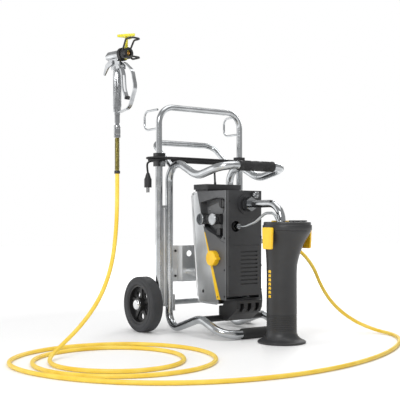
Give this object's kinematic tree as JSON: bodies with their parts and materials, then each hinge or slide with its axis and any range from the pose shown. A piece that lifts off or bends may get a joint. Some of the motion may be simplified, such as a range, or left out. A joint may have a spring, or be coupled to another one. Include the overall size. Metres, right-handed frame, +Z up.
{
  "type": "airless paint sprayer",
  "caption": "Wheeled tube-frame cart with a pump unit, telescopic handle, flared cleaning tube, hose and trigger spray gun.",
  "frame": {"origin": "on the floor, under the middle of the box of the cart, cleaning tube and gun", "axes": "+Z up, -Y towards the front grip and cleaning tube, +X towards the hose outlet side"},
  "size_m": [1.3553, 1.0674, 0.96],
  "materials": {
    "frame_tube": "zinc-plated bent tube, satin",
    "handle_tube": "bright zinc-plated tube",
    "wire": "bright wire",
    "sheet": "satin sheet metal",
    "web_paint": "dark grey powder coat",
    "rubber": "moulded rubber",
    "tyre": "solid tyre",
    "rim": "moulded nylon wheel centre",
    "screws": "blackened screws",
    "cast": "black powder-coated casting",
    "cover_grey": "grained dark grey housing",
    "cover_black": "grained black housing",
    "yellow": "moulded yellow plastic",
    "copper": "wound stator",
    "steel": "machined steel",
    "head": "anodised pump head",
    "black_metal": "black filter housing",
    "gauge": "steel gauge case with white dial",
    "needle": "black pointer",
    "chrome": "polished",
    "cup_plastic": "moulded polypropylene",
    "gun_alu": "cast and polished",
    "gun_black": "glass-filled nylon",
    "hose": "yellow hose jacket",
    "spring_steel": "bronzed spring",
    "lead": "rubber mains lead"
  },
  "bodies": {
    "root": {"frame_left_tube": "frame_tube", "frame_right_tube": "frame_tube", "front_grip": "rubber", "foot_sleeve": "rubber", "rear_bar": "frame_tube", "guide_tubes": "frame_tube", "clamp_collars": "cast", "side_plates": "web_paint", "axle": "steel", "axle_brackets": "sheet", "cross_bracket": "sheet", "fasteners": "screws", "support_bracket": "cast", "pump_chassis": "sheet", "left_cover": "cover_grey", "right_cover": "cover_grey", "front_cover": "cover_black", "upper_block": "cover_black", "top_tray": "cover_black", "cover_stripes": "yellow", "motor_stator": "copper", "hydraulic_housing": "head", "pressure_manifold": "black_metal", "gauge_cases": "gauge", "pipe_nuts": "chrome", "suction_pipe": "chrome", "return_pipe": "steel", "hose_outlet": "steel", "cleaning_tube": "cup_plastic", "tube_lid": "cup_plastic", "hose_fitting": "chrome", "spring_guard": "spring_steel", "paint_hose": "hose", "mains_lead": "lead", "mains_coil": "lead", "mains_tail": "lead", "plug": "gun_black"},
    "left_wheel": {"left_tyre": "tyre", "left_rim": "rim"},
    "right_wheel": {"right_tyre": "tyre", "right_rim": "rim"},
    "handle": {"handle_bar": "handle_tube", "side_hooks": "wire"},
    "left_clamp": {"left_clamp_knob": "steel"},
    "right_clamp": {"right_clamp_knob": "steel"},
    "rotor": {"motor_rotor": "steel"},
    "piston": {"pump_piston": "steel"},
    "pressure_dial": {"pressure_knob": "yellow"},
    "relief_valve": {"relief_knob": "gun_black"},
    "switch": {"power_switch": "gun_black"},
    "rear_needle": {"rear_gauge_needle": "needle"},
    "front_needle": {"front_gauge_needle": "needle"},
    "left_catch": {"left_latch": "yellow"},
    "right_catch": {"right_latch": "yellow"},
    "gun": {"gun_body": "gun_alu", "trigger_guard": "gun_alu"},
    "gun_trigger": {"trigger": "gun_alu"},
    "gun_lock": {"trigger_lock": "gun_alu"},
    "gun_guard": {"tip_guard": "gun_black"},
    "gun_tip": {"spray_tip": "yellow"}
  },
  "joints": [
    {"name": "left_wheel_spin", "type": "hinge", "parent": "root", "child": "left_wheel", "pos_m": [-0.07231, 0.25025, 0.1], "axis": [1, 0, 0], "continuous": true},
    {"name": "right_wheel_spin", "type": "hinge", "parent": "root", "child": "right_wheel", "pos_m": [0.38869, 0.25025, 0.1], "axis": [1, 0, 0], "continuous": true},
    {"name": "handle_slide", "type": "slide", "parent": "root", "child": "handle", "axis": [0, 0, 1], "range_m": [-0.07, 0.22]},
    {"name": "left_clamp_turn", "type": "hinge", "parent": "root", "child": "left_clamp", "pos_m": [-0.02781, 0.19625, 0.608], "axis": [0, 1, 0], "range_deg": [-180, 180]},
    {"name": "right_clamp_turn", "type": "hinge", "parent": "root", "child": "right_clamp", "pos_m": [0.34419, 0.19625, 0.608], "axis": [0, 1, 0], "range_deg": [-180, 180]},
    {"name": "rotor_spin", "type": "hinge", "parent": "root", "child": "rotor", "pos_m": [0.13819, 0.05025, 0.235], "axis": [1, 0, 0], "continuous": true},
    {"name": "piston_stroke", "type": "slide", "parent": "root", "child": "piston", "axis": [0, 0, 1], "range_m": [0, 0.008]},
    {"name": "pressure_dial_turn", "type": "hinge", "parent": "root", "child": "pressure_dial", "pos_m": [0.08219, 0.02425, 0.271], "axis": [1, 0, 0], "range_deg": [-140, 130]},
    {"name": "relief_valve_turn", "type": "hinge", "parent": "root", "child": "relief_valve", "pos_m": [0.09819, -0.01375, 0.462], "axis": [1, 0, 0], "range_deg": [0, 90]},
    {"name": "switch_turn", "type": "hinge", "parent": "root", "child": "switch", "pos_m": [0.09819, 0.00825, 0.364], "axis": [1, 0, 0], "range_deg": [0, 90]},
    {"name": "rear_needle_turn", "type": "hinge", "parent": "root", "child": "rear_needle", "pos_m": [0.06419, 0.08625, 0.408], "axis": [-1, 0, 0], "range_deg": [0, 250]},
    {"name": "front_needle_turn", "type": "hinge", "parent": "root", "child": "front_needle", "pos_m": [0.06419, 0.01225, 0.408], "axis": [-1, 0, 0], "range_deg": [0, 250]},
    {"name": "left_catch_lift", "type": "hinge", "parent": "root", "child": "left_catch", "pos_m": [0.07369, -0.26975, 0.314], "axis": [0, -1, 0], "range_deg": [0, 60]},
    {"name": "right_catch_lift", "type": "hinge", "parent": "root", "child": "right_catch", "pos_m": [0.24269, -0.26975, 0.314], "axis": [0, 1, 0], "range_deg": [0, 60]},
    {"name": "gun_swivel", "type": "hinge", "parent": "root", "child": "gun", "pos_m": [-0.39081, -0.11075, 0.73], "axis": [0, 0, 1], "continuous": true},
    {"name": "trigger_pull", "type": "hinge", "parent": "gun", "child": "gun_trigger", "pos_m": [-0.38769, -0.12848, 0.872], "axis": [0.9848, 0.1736, 0], "range_deg": [0, 12], "stiffness_Nm_per_rad": 2, "springref_deg": -5.73},
    {"name": "trigger_lock_turn", "type": "hinge", "parent": "gun", "child": "gun_lock", "pos_m": [-0.40471, -0.10102, 0.884], "axis": [0.9848, 0.1736, 0], "range_deg": [0, 18]},
    {"name": "tip_guard_turn", "type": "hinge", "parent": "gun", "child": "gun_guard", "pos_m": [-0.3856, -0.14029, 0.905], "axis": [-0.1736, 0.9848, 0], "range_deg": [-90, 90]},
    {"name": "spray_tip_turn", "type": "hinge", "parent": "gun_guard", "child": "gun_tip", "pos_m": [-0.38335, -0.1531, 0.905], "axis": [0, 0, 1], "range_deg": [0, 180]}
  ]
}
